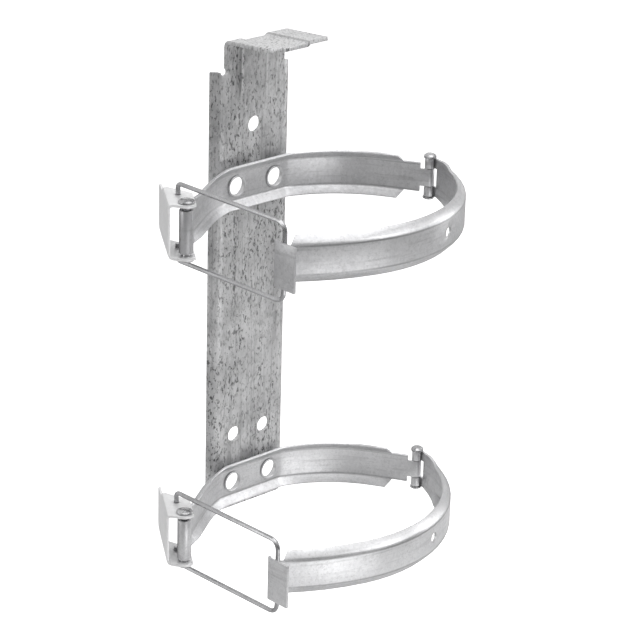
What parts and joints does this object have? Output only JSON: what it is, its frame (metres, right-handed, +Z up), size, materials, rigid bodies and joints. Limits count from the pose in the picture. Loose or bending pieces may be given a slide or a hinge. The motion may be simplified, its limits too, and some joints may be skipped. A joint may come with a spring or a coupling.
{
  "type": "fire extinguisher bracket",
  "caption": "Wall bracket of folded sheet steel with hinged strap clamps, wire bails and over-centre latch levers that hold a fire extinguisher.",
  "frame": {"origin": "back face of the backplate's web, on its centre line, level with the middle of the lower strap", "axes": "+Z up along the backplate, +X along the wall to the right seen from the front, +Y into the wall"},
  "size_m": [0.1516, 0.1189, 0.2506],
  "materials": {
    "galvanised_plate": "spangled zinc coating, mottled with dark flecks",
    "galvanised_rear_strap": "smooth zinc coating",
    "galvanised_front_strap": "smooth zinc coating",
    "bright_lever": "bright zinc plating",
    "bright_wire": "bright drawn wire",
    "zinc_pin": "zinc-plated rivet",
    "zinc_eyelet": "zinc-plated rolled eyelet"
  },
  "bodies": {
    "bracket": {"backplate": "galvanised_plate", "upper_rear_strap": "galvanised_rear_strap", "upper_hinge_rivet": "zinc_pin", "upper_left_eyelet": "zinc_eyelet", "upper_right_eyelet": "zinc_eyelet", "lower_rear_strap": "galvanised_rear_strap", "lower_hinge_rivet": "zinc_pin", "lower_left_eyelet": "zinc_eyelet", "lower_right_eyelet": "zinc_eyelet"},
    "upper_front": {"upper_front_strap": "galvanised_front_strap"},
    "upper_lever": {"upper_latch_lever": "bright_lever", "upper_lever_rivet": "zinc_pin"},
    "upper_bail": {"upper_wire_bail": "bright_wire"},
    "lower_front": {"lower_front_strap": "galvanised_front_strap"},
    "lower_lever": {"lower_latch_lever": "bright_lever", "lower_lever_rivet": "zinc_pin"},
    "lower_bail": {"lower_wire_bail": "bright_wire"}
  },
  "joints": [
    {"name": "upper_strap_hinge", "type": "hinge", "parent": "bracket", "child": "upper_front", "pos_m": [0.07094, -0.04964, 0.156], "axis": [0, 0, 1], "range_deg": [-10, 0]},
    {"name": "upper_lever_pivot", "type": "hinge", "parent": "bracket", "child": "upper_lever", "pos_m": [-0.06983, -0.03658, 0.1564], "axis": [0, 0, 1], "range_deg": [0, 150]},
    {"name": "upper_bail_pivot", "type": "hinge", "parent": "upper_lever", "child": "upper_bail", "pos_m": [-0.0658, -0.02553, 0.1564], "axis": [0, 0, 1], "range_deg": [-130, 0]},
    {"name": "lower_strap_hinge", "type": "hinge", "parent": "bracket", "child": "lower_front", "pos_m": [0.07094, -0.04964, 0], "axis": [0, 0, 1], "range_deg": [-10, 0]},
    {"name": "lower_lever_pivot", "type": "hinge", "parent": "bracket", "child": "lower_lever", "pos_m": [-0.06983, -0.03658, 0.0004], "axis": [0, 0, 1], "range_deg": [0, 150]},
    {"name": "lower_bail_pivot", "type": "hinge", "parent": "lower_lever", "child": "lower_bail", "pos_m": [-0.0658, -0.02553, 0.0004], "axis": [0, 0, 1], "range_deg": [-130, 0]}
  ],
  "couplings": [
    {"joint": "upper_bail_pivot", "follows": "upper_lever_pivot", "ratio": -0.842},
    {"joint": "lower_bail_pivot", "follows": "lower_lever_pivot", "ratio": -0.842}
  ]
}
